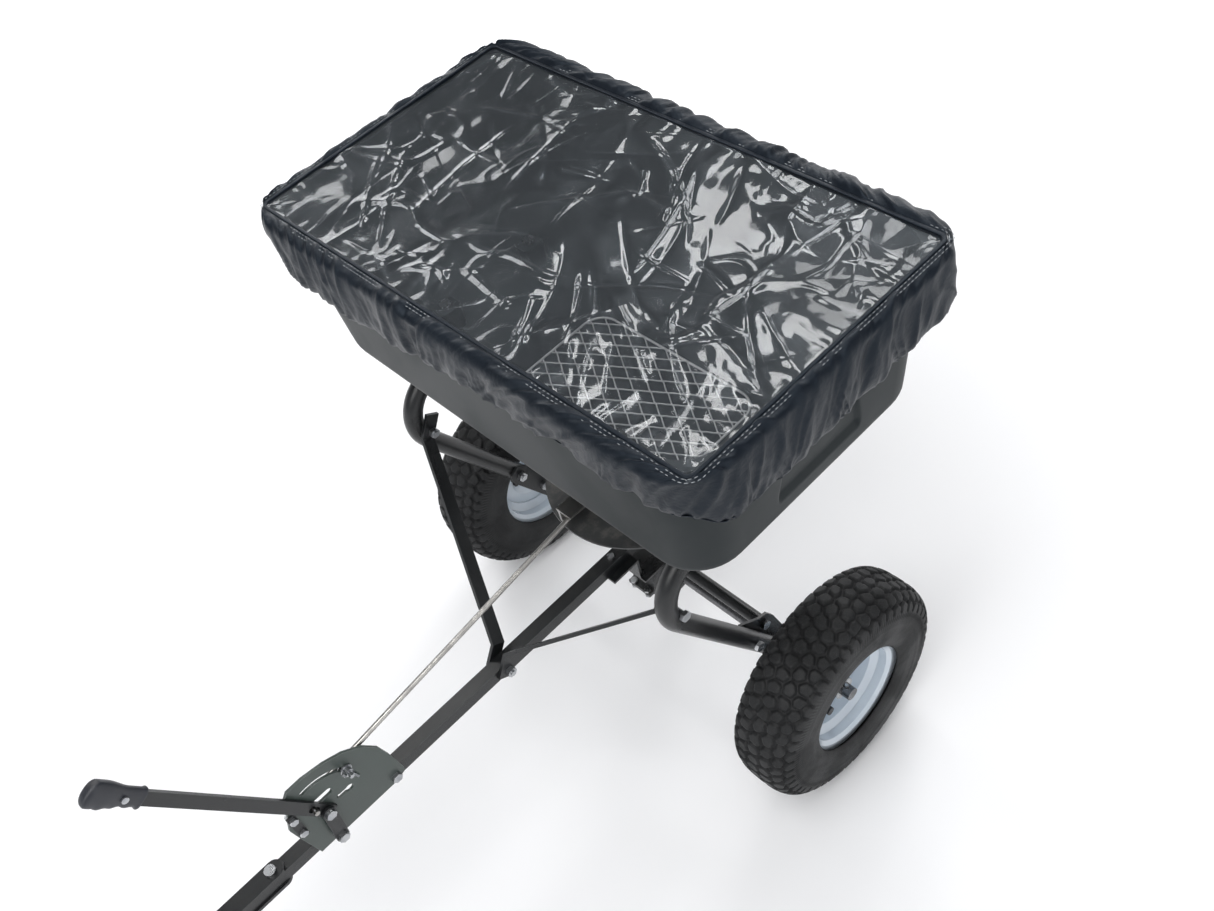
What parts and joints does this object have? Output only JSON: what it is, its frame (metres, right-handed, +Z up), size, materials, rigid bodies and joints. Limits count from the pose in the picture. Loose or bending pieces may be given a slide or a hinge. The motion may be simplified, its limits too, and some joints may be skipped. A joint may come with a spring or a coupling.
{
  "type": "tow-behind broadcast spreader",
  "caption": "Tow-behind broadcast spreader with a poly hopper, clear-window rain cover, bent tube frame, pneumatic wheels and a lever-worked flow gate.",
  "frame": {"origin": "middle of the footprint of the whole machine, on the ground", "axes": "+X forward to the hitch, +Y to the left, +Z up"},
  "size_m": [1.1028, 0.742, 0.8255],
  "materials": {
    "hopper_poly": "fine matt moulded",
    "frame_black": "satin powder coat",
    "plate_green": "satin powder coat",
    "zinc": "zinc plated",
    "axle_steel": "dark oiled",
    "housing_black": "ribbed moulded",
    "gear_steel": "greased",
    "tyre_rubber": "matt with turf studs",
    "rim_white": "gloss paint",
    "valve_rubber": "matt",
    "impeller_poly": "smooth",
    "bush_nylon": "smooth",
    "grip_rubber": "matt",
    "cover_fabric": "plain woven nylon with sheen",
    "cover_film": "clear wrinkled film",
    "cover_elastic": "elastic in the hem"
  },
  "bodies": {
    "chassis": {"frame_tube_left": "frame_black", "frame_tube_right": "frame_black", "axle_bracket_left": "frame_black", "axle_bracket_right": "frame_black", "axle_bushes": "bush_nylon", "frame_bolts": "zinc", "crossover_tube": "frame_black", "crossover_screws": "zinc", "tongue": "frame_black", "hitch_strap_upper": "frame_black", "hitch_strap_lower": "frame_black", "hitch_bolts": "zinc", "brace_left": "frame_black", "brace_right": "frame_black", "brace_bolts": "zinc", "gearbox_lower": "housing_black", "gearbox_upper": "housing_black", "gearbox_bolts": "zinc", "gearbox_bracket": "frame_black", "gearbox_pad_screws": "zinc", "tongue_bolts": "zinc", "hopper": "hopper_poly", "hopper_bolts": "zinc", "hopper_screen": "zinc", "gate_guides": "zinc", "guide_rivets": "zinc", "control_plate": "plate_green", "pivot_strap": "frame_black", "strap_spacer": "zinc", "pivot_bolt": "zinc", "plate_bolts": "zinc", "front_bracket": "frame_black", "front_bracket_bolts": "zinc"},
    "axle_drive": {"axle": "axle_steel", "axle_washers": "zinc", "axle_cross_pins": "zinc", "ring_gear": "gear_steel", "rim_left": "rim_white", "tyre_left": "tyre_rubber", "valve_stem_left": "valve_rubber"},
    "free_wheel": {"rim_right": "rim_white", "tyre_right": "tyre_rubber", "valve_stem_right": "valve_rubber"},
    "impeller_drive": {"impeller_shaft": "axle_steel", "pinion": "gear_steel", "impeller": "impeller_poly", "impeller_pins": "zinc", "agitator": "zinc"},
    "lever_arm": {"lever": "frame_black", "lever_grip": "grip_rubber", "lever_screw": "zinc"},
    "gate": {"gate_plate": "frame_black", "flow_rod": "zinc", "rod_cotters": "zinc", "rod_washer": "zinc"},
    "stop": {"stop_bolt": "zinc", "wing_nut": "zinc"},
    "rain_cover": {"cover_border": "cover_fabric", "cover_window": "cover_film", "cover_elastic": "cover_elastic"}
  },
  "joints": [
    {"name": "axle_spin", "type": "hinge", "parent": "chassis", "child": "axle_drive", "pos_m": [-0.34137, 0, 0.165], "axis": [0, 1, 0], "continuous": true},
    {"name": "wheel_spin", "type": "hinge", "parent": "axle_drive", "child": "free_wheel", "pos_m": [-0.34137, -0.315, 0.165], "axis": [0, 1, 0], "continuous": true},
    {"name": "impeller_spin", "type": "hinge", "parent": "chassis", "child": "impeller_drive", "pos_m": [-0.34137, 0, 0.388], "axis": [0, 0, 1], "continuous": true},
    {"name": "lever_swing", "type": "hinge", "parent": "chassis", "child": "lever_arm", "pos_m": [0.24863, 0.0175, 0.328], "axis": [0, -1, 0], "range_deg": [0, 60]},
    {"name": "gate_slide", "type": "slide", "parent": "chassis", "child": "gate", "axis": [-1, 0, 0], "range_m": [0, 0.0241]},
    {"name": "stop_slide_round", "type": "hinge", "parent": "chassis", "child": "stop", "pos_m": [0.24863, 0.012, 0.328], "axis": [0, -1, 0], "range_deg": [-50, 7.5]},
    {"name": "cover_lift", "type": "slide", "parent": "chassis", "child": "rain_cover", "axis": [0, 0, 1], "range_m": [0, 0.3]}
  ],
  "couplings": [
    {"joint": "impeller_spin", "follows": "axle_spin", "ratio": -3.2},
    {"joint": "gate_slide", "follows": "lever_swing", "m_per_rad": 0.022918}
  ]
}
